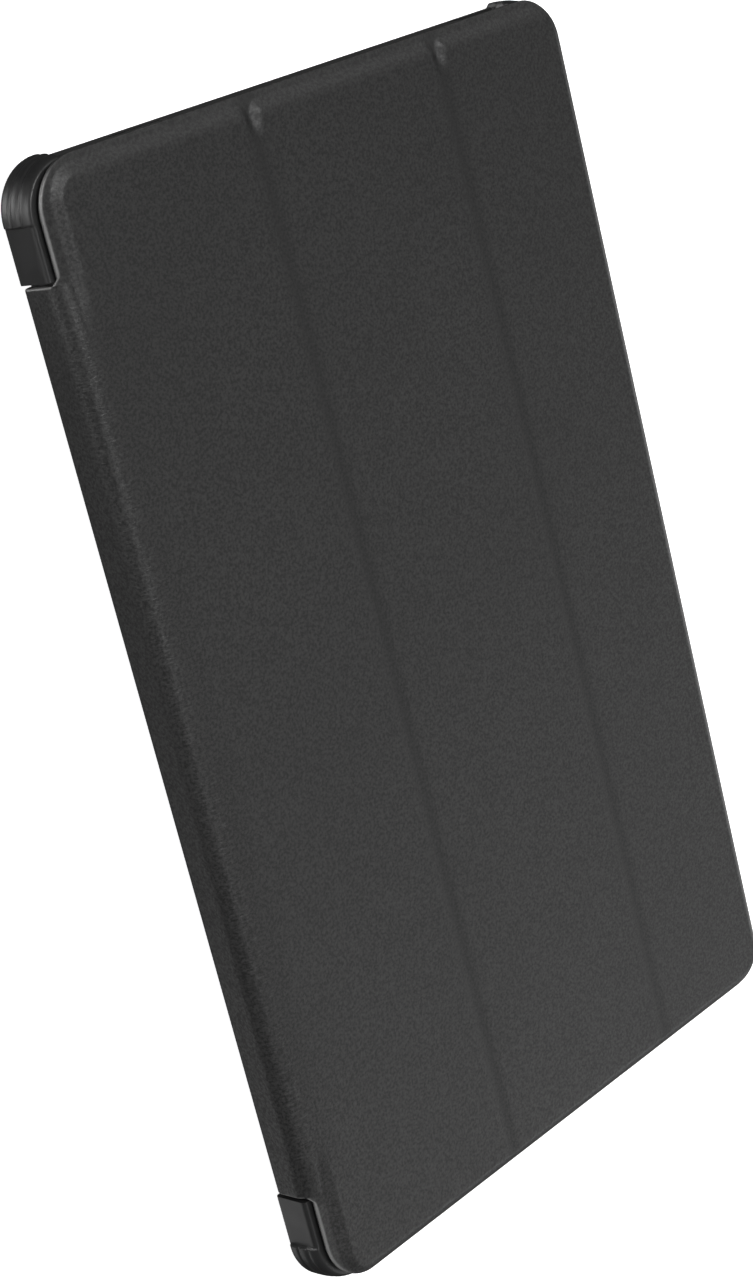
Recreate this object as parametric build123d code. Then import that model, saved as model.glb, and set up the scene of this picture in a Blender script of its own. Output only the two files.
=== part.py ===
"""Tri-fold tablet case: a moulded tray with a leather cover that folds over it.

The case lies on its back, closed and empty. +Z is the thickness, the spine is on the -X side,
the free edge of the cover is on the +X side, and the length runs along Y. The origin is on the
surface that the case lies on, under its middle. All sizes are in millimetres.
"""

import os

from build123d import *

os.makedirs("parts", exist_ok=True)

# ---- the tablet that the case holds
TABLET_WIDTH = 154.3
TABLET_LENGTH = 244.5
TABLET_FIT = 0.35  # clearance on every side of the tablet
TABLET_MIDDLE_X = 1.0  # the tablet lies off centre, because the spine takes room on the left

# ---- sheet thicknesses
SKIN = 0.7  # outer leather
FLAP = 0.8  # leather on the back, with its backing
LINING = 0.5  # microfibre
BOARD = 1.3  # stiffener in each cover panel
SPINE_BOARD = 0.8
ADHESIVE = 0.2

# ---- moulded tray
SHELL_WIDTH = 160.4
SHELL_LENGTH = 248.6
SHELL_CORNER = 10.6
SHELL_BOTTOM = 0.2  # the rim round the back flap stands just off the table
BACK_PLATE = 1.2
WALL_TOP = 9.4
LIP_DEPTH = 0.7  # height of the lip that holds the tablet
LIP_REACH = 0.7  # how far the lip comes in over the tablet's edge
BAY_CORNER = 8.5
BOTTOM_ROUNDING = 0.9
SPINE_WALL_FACE = -77.9  # outer face of the low wall behind the spine
SPINE_WALL_TOP = 8.5
RECESS_MARGIN = 3.4  # rim left round the back flap
RECESS_CORNER = 8.5

# ---- corner bumpers: three bands with two grooves between them
BUMPER_PROUD = 1.0
BUMPER_ARM = 12.0
BUMPER_BANDS = ((1.0, 3.9), (4.5, 6.4), (7.0, 8.7))

# ---- openings in the tray
KEY_SPAN = (53.0, 69.0)  # keys in the +Y wall, along X, open at the top
KEY_SILL = 3.4
USB_WIDTH = 14.0
USB_SPAN_Z = (2.9, 8.3)
SPEAKER_LENGTH = 16.0
SPEAKER_HEIGHT = 2.0
SPEAKER_X = 45.0
SPEAKER_Z = 5.6
CAMERA_X = 60.0
CAMERA_Y = 104.0
CAMERA_WIDTH = 20.0
CAMERA_LENGTH = 20.0
CAMERA_CORNER = 6.0
CAMERA_MARGIN = 0.6  # the flap's window is this much larger than the tray's
WALL_CUT = 4.0  # how far an opening in a wall is cut on each side of the wall's face

# ---- back flap and the film that holds it
FLAP_MARGIN = 0.2  # gap between the flap and the rim of its recess
FILM_MARGIN = 1.2
FILM_LEFT = -76.9  # the film stops short of the hinge
FILM_WINDOW_MARGIN = 1.2

# ---- cover
COVER_LENGTH = 249.2
COVER_LEFT = -78.6  # edge of the cover beside the exposed corners
COVER_RIGHT = 80.2
COVER_CORNER = 11.0
LINING_BOTTOM = 9.7
FOLD_CENTRES = (-20.0, 38.3)
FOLD_HALF = 2.0  # half the width of the bare web at each fold
BOARD_EDGE = 2.9  # from a fold's centre to the raised panel
PANEL_LEFT = -75.0  # edge of the first raised panel
PANEL_RIGHT = 78.0
PANEL_LOW_Y = -123.9
PANEL_HIGH_Y = 121.9
PANEL_BEVEL = 0.9
OUTER_CORNER = 7.0  # corner radius of the raised panels at the cover's ends
FOLD_CORNER = 2.8  # and beside the folds
BOARD_INSET = 0.8  # leather round the edge of a board

# ---- spine
SPINE_FACE = -80.2
SPINE_HALF = 101.1  # half its length: the corners beyond it are bare
SPINE_WRAP = 0.4  # leather turned over each end of the spine's board and lining
SPINE_GAP = 0.8  # from the spine's end to the tray's corner block
BACK_BEND = 2.5  # outer radius of the leather round the back edge
FRONT_BEND = 4.2  # outer radius of the leather round the front edge
WEB_END = -75.6  # where the bare web meets the first panel
EAR_ROOT = 1.5  # how far each ear over a bare corner runs in under the bend
LINING_BEND = 2.2

# ---- magnets in the boards
MAGNET_LENGTH = 20.0
MAGNET_WIDTH = 4.0
MAGNET_THICKNESS = 1.0
MAGNET_Y = (-70.0, 0.0, 70.0)
INNER_MAGNET_X = -70.5
OUTER_MAGNET_X = 73.0

# ---- heights worked out from the above
FLAP_TOP = FLAP
PLATE_BOTTOM = FLAP_TOP + ADHESIVE
PLATE_TOP = PLATE_BOTTOM + BACK_PLATE
LINING_TOP = LINING_BOTTOM + LINING
FLANGE_TOP = LINING_TOP + SKIN
BOARD_TOP = LINING_TOP + BOARD
COVER_TOP = BOARD_TOP + SKIN
BAY_WIDTH = TABLET_WIDTH + 2 * TABLET_FIT
BAY_LENGTH = TABLET_LENGTH + 2 * TABLET_FIT
TALL = 30.0  # taller than the whole case, for cutting through it


def slab(x_span, y_span, z_span):
    """A box between two corners."""
    sizes = [span[1] - span[0] for span in (x_span, y_span, z_span)]
    middle = [(span[0] + span[1]) / 2 for span in (x_span, y_span, z_span)]
    return Pos(*middle) * Box(*sizes)


def plate(outline, z_span):
    """A flat outline made solid between two heights."""
    return extrude(Pos(0, 0, z_span[0]) * outline, amount=z_span[1] - z_span[0])


def rounded(width, length, radius, x=0.0, y=0.0):
    return Pos(x, y) * RectangleRounded(width, length, radius)


def bend(centre_x, centre_z, outer_radius, thickness, up):
    """Section of a sheet turning a quarter round the spine side: up is 1 above its centre, -1 below."""
    ring = Circle(outer_radius) - Circle(outer_radius - thickness)
    quarter = Pos(-outer_radius / 2, up * outer_radius / 2) * Rectangle(outer_radius, outer_radius)
    return Plane.XZ * (Pos(centre_x, centre_z) * (ring & quarter))


def along_spine(section):
    """A section in the XZ plane made into a strip as long as the spine."""
    return extrude(section, amount=SPINE_HALF, both=True)


def camera_window(margin):
    width = CAMERA_WIDTH + 2 * margin
    length = CAMERA_LENGTH + 2 * margin
    window = rounded(width, length, CAMERA_CORNER, CAMERA_X, CAMERA_Y)
    return plate(window, (-TALL / 2, PLATE_TOP + 1))


def back_shell():
    """Tray with a low wall behind the spine, a lip round the tablet and banded corner bumpers."""
    outline = rounded(SHELL_WIDTH, SHELL_LENGTH, SHELL_CORNER)
    shell = plate(outline, (SHELL_BOTTOM, WALL_TOP))
    shell = fillet(shell.faces().sort_by(Axis.Z)[0].edges(), BOTTOM_ROUNDING)

    bumper_outline = rounded(
        SHELL_WIDTH + 2 * BUMPER_PROUD, SHELL_LENGTH + 2 * BUMPER_PROUD, SHELL_CORNER + BUMPER_PROUD
    )
    middle_x = SHELL_WIDTH + 2 * BUMPER_PROUD - 2 * BUMPER_ARM
    middle_y = SHELL_LENGTH + 2 * BUMPER_PROUD - 2 * BUMPER_ARM
    corners = bumper_outline - Rectangle(SHELL_WIDTH * 2, middle_y) - Rectangle(middle_x, SHELL_LENGTH * 2)
    for band in BUMPER_BANDS:
        shell += plate(corners, band)

    bay = rounded(BAY_WIDTH, BAY_LENGTH, BAY_CORNER, TABLET_MIDDLE_X)
    mouth = rounded(
        BAY_WIDTH - 2 * LIP_REACH, BAY_LENGTH - 2 * LIP_REACH, BAY_CORNER - LIP_REACH, TABLET_MIDDLE_X
    )
    shell -= plate(bay, (PLATE_TOP, WALL_TOP - LIP_DEPTH))
    shell -= plate(mouth, (PLATE_TOP, TALL))

    open_half = SPINE_HALF + SPINE_GAP
    bay_left = TABLET_MIDDLE_X - BAY_WIDTH / 2
    shell -= slab((-SHELL_WIDTH, SPINE_WALL_FACE), (-open_half, open_half), (-TALL, TALL))
    shell -= slab((-SHELL_WIDTH, bay_left + LIP_REACH), (-open_half, open_half), (SPINE_WALL_TOP, TALL))

    recess = rounded(SHELL_WIDTH - 2 * RECESS_MARGIN, SHELL_LENGTH - 2 * RECESS_MARGIN, RECESS_CORNER)
    shell -= plate(recess, (-TALL, PLATE_BOTTOM))
    shell -= slab((-SHELL_WIDTH, 0), (-open_half, open_half), (-TALL, PLATE_BOTTOM))

    wall_y = SHELL_LENGTH / 2
    shell -= slab(KEY_SPAN, (wall_y - WALL_CUT, wall_y + WALL_CUT), (KEY_SILL, TALL))
    usb_x = (TABLET_MIDDLE_X - USB_WIDTH / 2, TABLET_MIDDLE_X + USB_WIDTH / 2)
    shell -= slab(usb_x, (-wall_y - WALL_CUT, -wall_y + WALL_CUT), USB_SPAN_Z)
    for side in (-1, 1):
        slot = Plane.XZ * SlotOverall(SPEAKER_LENGTH, SPEAKER_HEIGHT)
        slot = extrude(slot, amount=WALL_CUT, both=True)
        shell -= Pos(-side * SPEAKER_X, side * wall_y, SPEAKER_Z) * slot
    return shell - camera_window(0)


def flap_outline(margin):
    """Outline of the leather on the back, with the tab that runs out to the spine."""
    width = SHELL_WIDTH - 2 * (RECESS_MARGIN + margin)
    length = SHELL_LENGTH - 2 * (RECESS_MARGIN + margin)
    tab_left = SPINE_FACE + BACK_BEND
    tab = Pos(tab_left / 2, 0) * Rectangle(-tab_left, 2 * SPINE_HALF)
    return rounded(width, length, RECESS_CORNER - margin) + tab


def back_flap_skin():
    return plate(flap_outline(FLAP_MARGIN), (0, FLAP_TOP)) - camera_window(CAMERA_MARGIN)


def back_adhesive_film():
    """Film that holds the flap to the tray, clear of the rounded hinge edge."""
    film = plate(flap_outline(FILM_MARGIN), (FLAP_TOP, PLATE_BOTTOM))
    film -= slab((-SHELL_WIDTH, FILM_LEFT), (-SHELL_LENGTH, SHELL_LENGTH), (0, TALL))
    return film - camera_window(FILM_WINDOW_MARGIN)


def back_hinge_skin():
    return along_spine(bend(SPINE_FACE + BACK_BEND, BACK_BEND, BACK_BEND, SKIN, -1))


def spine_layer(outer, inner, half):
    """A flat layer of the spine between two depths from its outer face."""
    span_z = (BACK_BEND, COVER_TOP - FRONT_BEND)
    return slab((SPINE_FACE + outer, SPINE_FACE + inner), (-half, half), span_z)


def cover_outline():
    width = COVER_RIGHT - COVER_LEFT
    return rounded(width, COVER_LENGTH, COVER_CORNER, (COVER_LEFT + COVER_RIGHT) / 2)


def cover_strip(x_span):
    """The part of the cover's outline between two places along X."""
    middle = (x_span[0] + x_span[1]) / 2
    return cover_outline() & (Pos(middle, 0) * Rectangle(x_span[1] - x_span[0], COVER_LENGTH))


def front_hinge_skin():
    """Leather that turns over the front edge, with the two ears that lie over the bare corners."""
    centre_z = COVER_TOP - FRONT_BEND
    centre_x = SPINE_FACE + FRONT_BEND
    skin = along_spine(bend(centre_x, centre_z, FRONT_BEND, SKIN, 1))
    skin += slab((centre_x, WEB_END), (-SPINE_HALF, SPINE_HALF), (BOARD_TOP, COVER_TOP))
    ears = plate(cover_strip((COVER_LEFT, WEB_END)), (LINING_TOP, FLANGE_TOP))
    middle = SPINE_HALF - EAR_ROOT
    ears -= slab((-SHELL_WIDTH, 0), (-middle, middle), (0, TALL))
    return skin + ears


def front_hinge_lining():
    """Lining that follows the skin over the front edge and under the two ears."""
    inner_face = SPINE_FACE + SKIN + SPINE_BOARD
    centre_x = inner_face + LINING_BEND
    centre_z = COVER_TOP - FRONT_BEND
    lining = along_spine(bend(centre_x, centre_z, LINING_BEND, LINING, 1))
    lining += slab((centre_x, WEB_END), (-SPINE_HALF, SPINE_HALF), (LINING_BOTTOM, LINING_TOP))
    ears = plate(cover_strip((COVER_LEFT, WEB_END)), (LINING_BOTTOM, LINING_TOP))
    ears -= slab((-SHELL_WIDTH, 0), (-SPINE_HALF, SPINE_HALF), (0, TALL))
    return lining + ears


def panel_outline(x_span, left_corner, right_corner, inset):
    """Outline of a raised panel, with its own corner radius on each side."""
    low_y = PANEL_LOW_Y + inset
    high_y = PANEL_HIGH_Y - inset
    width = x_span[1] - x_span[0] - 2 * inset
    outline = Pos((x_span[0] + x_span[1]) / 2, (low_y + high_y) / 2) * Rectangle(width, high_y - low_y)
    outline = fillet(outline.vertices().group_by(Axis.X)[0], left_corner - inset)
    return fillet(outline.vertices().group_by(Axis.X)[-1], right_corner - inset)


def panel_skin(strip_span, board_span, left_corner, right_corner):
    """Leather of one panel: a flat margin and a raised middle, hollow for the board."""
    skin = plate(cover_strip(strip_span), (LINING_TOP, FLANGE_TOP))
    raised = plate(panel_outline(board_span, left_corner, right_corner, 0), (LINING_TOP, COVER_TOP))
    raised = chamfer(raised.faces().sort_by(Axis.Z)[-1].edges(), PANEL_BEVEL)
    return skin + raised


def board_solid(board_span, left_corner, right_corner):
    outline = panel_outline(board_span, left_corner, right_corner, BOARD_INSET)
    return plate(outline, (LINING_TOP, BOARD_TOP))


def magnets(x):
    """A row of bar magnets set into a board."""
    z_span = (LINING_TOP, LINING_TOP + MAGNET_THICKNESS)
    bars = []
    for y in MAGNET_Y:
        x_span = (x - MAGNET_WIDTH / 2, x + MAGNET_WIDTH / 2)
        bars.append(slab(x_span, (y - MAGNET_LENGTH / 2, y + MAGNET_LENGTH / 2), z_span))
    return bars


def save(name, shape):
    export_step(shape, f"parts/{name}.step")


def save_panel(name, strip_span, board_span, left_corner, right_corner, magnet_x):
    """Write the skin, board, lining and magnets of one panel."""
    board = board_solid(board_span, left_corner, right_corner)
    skin = panel_skin(strip_span, board_span, left_corner, right_corner)
    if strip_span[0] == WEB_END:
        tent = (WEB_END, PANEL_LEFT + BOARD_INSET)
        skin += slab(tent, (-SPINE_HALF, SPINE_HALF), (LINING_TOP, COVER_TOP))
    skin -= board
    if magnet_x is not None:
        bars = magnets(magnet_x)
        for bar in bars:
            board -= bar
        save(f"{name}_magnets", Compound(children=bars))
    save(f"{name}_skin", skin)
    save(f"{name}_board", board)
    save(f"{name}_lining", plate(cover_strip(strip_span), (LINING_BOTTOM, LINING_TOP)))


def save_fold(name, centre):
    """Write the bare web of leather and lining at one fold."""
    strip = cover_strip((centre - FOLD_HALF, centre + FOLD_HALF))
    save(f"{name}_skin", plate(strip, (LINING_TOP, FLANGE_TOP)))
    save(f"{name}_lining", plate(strip, (LINING_BOTTOM, LINING_TOP)))


inner_fold, outer_fold = FOLD_CENTRES

save("back_shell", back_shell())
save("back_flap_skin", back_flap_skin())
save("back_adhesive_film", back_adhesive_film())
save("back_hinge_skin", back_hinge_skin())

wrapped_half = SPINE_HALF - SPINE_WRAP
save("spine_skin", spine_layer(0, SKIN, SPINE_HALF))
save("spine_board", spine_layer(SKIN, SKIN + SPINE_BOARD, wrapped_half))
save("spine_lining", spine_layer(SKIN + SPINE_BOARD, SKIN + SPINE_BOARD + LINING, wrapped_half))

save("front_hinge_skin", front_hinge_skin())
save("front_hinge_lining", front_hinge_lining())

save_panel(
    "inner_panel",
    (WEB_END, inner_fold - FOLD_HALF),
    (PANEL_LEFT, inner_fold - BOARD_EDGE),
    OUTER_CORNER,
    FOLD_CORNER,
    INNER_MAGNET_X,
)
save_fold("inner_fold", inner_fold)
save_panel(
    "middle_panel",
    (inner_fold + FOLD_HALF, outer_fold - FOLD_HALF),
    (inner_fold + BOARD_EDGE, outer_fold - BOARD_EDGE),
    FOLD_CORNER,
    FOLD_CORNER,
    None,
)
save_fold("outer_fold", outer_fold)
save_panel(
    "outer_panel",
    (outer_fold + FOLD_HALF, COVER_RIGHT),
    (outer_fold + BOARD_EDGE, PANEL_RIGHT),
    FOLD_CORNER,
    OUTER_CORNER,
    OUTER_MAGNET_X,
)
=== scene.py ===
"""Looks of the tri-fold tablet case: leather cover, microfibre lining and moulded tray."""

import math

import bmesh
import bpy
import numpy as np
from mathutils import Matrix, Vector, noise


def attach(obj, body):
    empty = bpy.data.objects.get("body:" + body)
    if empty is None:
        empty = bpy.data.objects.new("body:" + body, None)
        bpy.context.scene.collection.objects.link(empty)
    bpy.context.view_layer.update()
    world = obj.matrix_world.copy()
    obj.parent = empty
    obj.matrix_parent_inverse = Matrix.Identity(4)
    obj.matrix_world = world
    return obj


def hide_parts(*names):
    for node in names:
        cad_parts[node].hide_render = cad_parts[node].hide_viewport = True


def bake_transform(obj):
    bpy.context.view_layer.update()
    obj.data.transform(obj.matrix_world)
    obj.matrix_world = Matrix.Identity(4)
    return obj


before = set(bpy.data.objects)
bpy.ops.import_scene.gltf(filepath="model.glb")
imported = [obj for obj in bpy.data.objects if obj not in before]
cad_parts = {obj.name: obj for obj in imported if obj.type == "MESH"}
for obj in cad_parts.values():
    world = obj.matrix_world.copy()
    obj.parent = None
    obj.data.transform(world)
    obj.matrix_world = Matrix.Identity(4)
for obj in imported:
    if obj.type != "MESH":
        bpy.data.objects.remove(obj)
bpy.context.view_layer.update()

MM = 0.001

# ---------------------------------------------------------------- sizes in millimetres
SKIN = 0.7  # thickness of the leather
PANEL_SKIN = 1.0  # the same over a board, with the glue under it
LINING_BOTTOM, LINING_TOP = 9.7, 10.2
FLANGE_TOP, COVER_TOP = 11.0, 12.2
RISE = COVER_TOP - FLANGE_TOP

COVER_LEFT, COVER_RIGHT, COVER_HALF, COVER_CORNER = -78.6, 80.2, 124.6, 11.0
SPINE_FACE, SPINE_HALF, SPINE_WRAP = -80.2, 101.1, 0.4
FRONT_BEND = 4.2
FRONT_TURN = SPINE_FACE + FRONT_BEND  # where the cover starts to turn down
FRONT_CENTRE_Z = COVER_TOP - FRONT_BEND
BACK_BEND = 2.5
BACK_TURN = SPINE_FACE + BACK_BEND
SPINE_SEAM_Z = 5.2  # the back piece and the front piece of the spine meet here
PANEL_SEAM = -75.9  # the bend and the first panel meet here
STAND_END, STAND_Z = -74.3, 10.9  # the first panel is stiff from here on, and turns at this height
FOLD_REACH, FOLD_Z = 2.2, 10.5  # half width of the leather that bends at a fold, and its height
BEND_MARKS_END = -73.5  # the short strokes over the bend, bumped and painted lighter as a highlight, end here
NOTCH_ROUNDING = 1.4
EDGE_ROUNDING = 0.33

FOLDS = (-20.0, 38.3)
FOLD_FOOT = 0.7  # from a fold's centre to the side of the raised panel
FOLD_DEPTH = 0.13  # depth of a fold away from its upper end, as a share of the panels' rise
FOLD_ZONE = 8  # half width of the zone in which a fold is made shallower
FOLD_MOUTH, FOLD_FADE = 2.2, 6  # length of a fold's deep upper end, and of the fade after it
# left foot, right foot, left corner radius, right corner radius of each raised panel
PANELS = (
    (-75.3, FOLDS[0] - FOLD_FOOT, 7.0, 2.6),
    (FOLDS[0] + FOLD_FOOT, FOLDS[1] - FOLD_FOOT, 2.6, 2.6),
    (FOLDS[1] + FOLD_FOOT, 79.9, 1.9, 7.5),
)
PANEL_LOW_Y, PANEL_HIGH_Y = -124.5, 122.6
RAMP, RAMP_FOOT = 3.2, 0.8  # width of the raised edge, and how far its foot lies outside the panel
SAG, SAG_START = 0.35, -68.5  # the first panel slopes gently towards the bend
EAR_START, EAR_FADE = 103.2, 15.0  # where the raised edge beside an ear starts to run out, and how fast
EAR_FLAT = 2.6  # length over which the bend flattens into an ear
UNEVENNESS, UNEVEN_SPAN = 0.035, 34  # depth and width of the leather's slow waves
FOLD_SHADE_SPREAD = 2.3  # half width of the band of painted shade along a fold
WRAP_EXTRA = 1.3  # added to the spine's leather where it is turned over both ends

# ---------------------------------------------------------------- small mesh tools


def smooth(value):
    value = np.clip(value, 0.0, 1.0)
    return value * value * (3 - 2 * value)


def inside(x, y, left, right, low, high, radius):
    """How far a point lies inside a rounded rectangle."""
    across = np.abs(x - (left + right) / 2) - (right - left) / 2 + radius
    along = np.abs(y - (low + high) / 2) - (high - low) / 2 + radius
    corner = np.hypot(np.maximum(across, 0), np.maximum(along, 0))
    return radius - corner - np.minimum(np.maximum(across, along), 0)


def painted_highlight_sides(x, y):
    """1 beside the cover's left and right edges, 0 beside its ends; it keeps the painted highlight on the
    edges to the sides where light falls.
    """
    from_side = np.minimum(x - COVER_LEFT, COVER_RIGHT - x)
    return smooth((COVER_HALF - np.abs(y) - from_side) / 12 + 0.5)


def rounding(distance, radius=EDGE_ROUNDING):
    """How far the surface falls back near a rounded edge."""
    reach = np.clip(radius - distance, 0, radius)
    return radius - np.sqrt(radius * radius - reach * reach)


def undulation(x, y):
    """Slow unevenness of the leather, from -1 to 1."""
    places = zip(x.ravel() / UNEVEN_SPAN, y.ravel() / UNEVEN_SPAN)
    return np.array([noise.noise(Vector((a, b, 1.0))) for a, b in places]).reshape(x.shape)


def surface(x, y, z):
    return np.stack([x, y, z], axis=-1)


def link(mesh):
    piece = bpy.data.objects.new(mesh.name, mesh)
    bpy.context.scene.collection.objects.link(piece)
    return piece


def finish_mesh(mesh, sharp_angle=50):
    """Join doubled points, drop empty faces, and shade smoothly except at sharp edges."""
    work = bmesh.new()
    work.from_mesh(mesh)
    bmesh.ops.remove_doubles(work, verts=work.verts, dist=2e-6)
    bmesh.ops.dissolve_degenerate(work, edges=work.edges, dist=1e-6)
    bmesh.ops.delete(work, geom=[v for v in work.verts if not v.link_faces], context="VERTS")
    for face in work.faces:
        face.smooth = True
    work.to_mesh(mesh)
    work.free()
    mesh.set_sharp_from_angle(angle=math.radians(sharp_angle))


def closed_sheet(name, outer, inner, keep, attributes, flip=False):
    """A closed sheet between two grids of points, over the cells where keep is true."""
    rows, columns = outer.shape[:2]
    count = rows * columns
    ids = np.arange(count).reshape(rows, columns)
    padded = np.zeros((rows + 1, columns + 1), bool)
    padded[1:-1, 1:-1] = keep
    faces = []
    for i in range(rows - 1):
        for j in range(columns - 1):
            if not keep[i, j]:
                continue
            a, b, c, d = ids[i, j], ids[i + 1, j], ids[i + 1, j + 1], ids[i, j + 1]
            faces.append((a, b, c, d))
            faces.append((d + count, c + count, b + count, a + count))
            sides = (
                (padded[i + 1, j], a, b),
                (padded[i + 2, j + 1], b, c),
                (padded[i + 1, j + 2], c, d),
                (padded[i, j + 1], d, a),
            )
            for joined, first, second in sides:
                if not joined:
                    faces.append((second, first, first + count, second + count))
    if flip:
        faces = [face[::-1] for face in faces]
    points = np.concatenate([outer.reshape(-1, 3), inner.reshape(-1, 3)]) * MM
    mesh = bpy.data.meshes.new(name)
    mesh.from_pydata(points.tolist(), [], [[int(v) for v in face] for face in faces])
    for key, value in attributes.items():
        layer = mesh.attributes.new(key, "FLOAT", "POINT")
        flat = np.broadcast_to(value, outer.shape[:2]).reshape(-1)
        layer.data.foreach_set("value", np.concatenate([flat, flat]).astype(np.float32))
    finish_mesh(mesh)
    return link(mesh)


def steps(start, end, spacing):
    """Places from start up to end, not including it, about spacing apart."""
    count = max(1, round(abs(end - start) / spacing))
    return [start + (end - start) * k / count for k in range(count)]


# ---------------------------------------------------------------- rows along the length

EDGE_STEPS = [0, 0.03, 0.1, 0.2, 0.33]
END_OFFSETS = EDGE_STEPS + steps(0.55, 4.6, 0.27) + steps(4.6, 9.4, 0.6) + steps(9.4, 22.5, 1.2)
END_SPAN = COVER_HALF - SPINE_HALF
MIDDLE_ROWS = [SPINE_HALF - v for v in (0, 0.03, 0.1, 0.2, 0.33, 0.385, 0.42, 0.7)]
MIDDLE_ROWS += steps(SPINE_HALF - 1.2, 94, 0.7) + steps(94, 86, 2) + steps(86, 0, 4.3)


def row_fractions():
    """Rows from -Y to +Y: each is (side, fraction of the end span) or (0, fixed place)."""
    low_end = [(-1, 1 - offset / END_SPAN) for offset in END_OFFSETS]
    high_end = [(1, 1 - offset / END_SPAN) for offset in reversed(END_OFFSETS)]
    middle = [(0, -v) for v in MIDDLE_ROWS] + [(0, 0.0)] + [(0, v) for v in reversed(MIDDLE_ROWS)]
    return low_end + middle + high_end


ROWS = row_fractions()


def row_places(end):
    """The rows' places along Y in one column whose end is at plus or minus end."""
    places = []
    for side, value in ROWS:
        places.append(side * (SPINE_HALF + (end - SPINE_HALF) * value) if side else value)
    return places


def cover_end(x, inset=0.0):
    """How far the cover reaches along Y at a place along X."""
    left, right = COVER_LEFT + inset, COVER_RIGHT - inset
    from_side = np.clip(min(x - left, right - x), 0, COVER_CORNER)
    back = COVER_CORNER - math.sqrt(COVER_CORNER**2 - (COVER_CORNER - from_side) ** 2)
    return COVER_HALF - inset - back


def ramp(depth):
    """Height of the leather over the edge of a board, as a share of its full rise."""
    return smooth((depth + RAMP_FOOT) / RAMP)


def lift_by_spine(y):
    """0 on the flat ears over the bare corners, 1 where the panel runs on over the bend."""
    return smooth((EAR_START - np.abs(y)) / EAR_FADE)


def sag(x, y):
    """How far the first panel falls away towards the bend."""
    return SAG * lift_by_spine(y) * np.clip((SAG_START - x) / (SAG_START - FRONT_TURN), 0, 1) ** 2


def from_fold(x):
    return np.minimum(np.abs(x - FOLDS[0]), np.abs(x - FOLDS[1]))


def lift(x, y):
    """0 on the flat margin of the cover, 1 on a raised panel."""
    low = np.ones_like(x)
    for left, right, left_corner, right_corner in PANELS:
        corner = np.where(x < (left + right) / 2, left_corner, right_corner)
        depth = inside(x, y, left, right, PANEL_LOW_Y, PANEL_HIGH_Y, corner)
        low = low * (1 - ramp(depth))
    low = low * np.where(x < FOLDS[0] - 10, 1 - lift_by_spine(y), 1)
    shallower = (1 - FOLD_DEPTH) * smooth((PANEL_HIGH_Y - y - FOLD_MOUTH) / FOLD_FADE)
    low = low * np.where(from_fold(x) < FOLD_ZONE, 1 - shallower, 1)
    low = np.maximum(low, 1 - ramp(y - PANEL_LOW_Y))
    return 1 - low


def bent_section(u, y, depth):
    """Leather round the front bend: u is the place along its outer face, depth the way in from it."""
    drop = RISE * (1 - lift_by_spine(y)) + sag(FRONT_TURN, y)
    angle = np.clip((FRONT_TURN - u) / FRONT_BEND, 0, math.pi / 2)
    below = np.maximum(FRONT_TURN - u - FRONT_BEND * math.pi / 2, 0)
    face_height = FRONT_CENTRE_Z - SPINE_SEAM_Z
    radius = FRONT_BEND - depth
    x = np.where(u > FRONT_TURN, u, FRONT_TURN - radius * np.sin(angle))
    z = FRONT_CENTRE_Z - drop + radius * np.cos(angle) - below * (face_height - drop) / face_height
    return x, z


# ---------------------------------------------------------------- cover pieces


def cover_grid(columns, inset=0.0):
    """Places in the cover's outline, whose rows bunch up at its ends and at the ends of the spine."""
    columns = [min(max(x, COVER_LEFT + inset), COVER_RIGHT - inset) for x in columns]
    y = np.array([row_places(cover_end(x, inset)) for x in columns])
    return np.repeat(np.array(columns)[:, None], y.shape[1], axis=1), y


def between_ears(x, y):
    """True in the grid cells that the front bend takes up, between the two ears."""
    return (x[:-1, :-1] < PANEL_SEAM - 0.001) & (np.abs((y[:-1, :-1] + y[:-1, 1:]) / 2) < SPINE_HALF)


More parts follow.
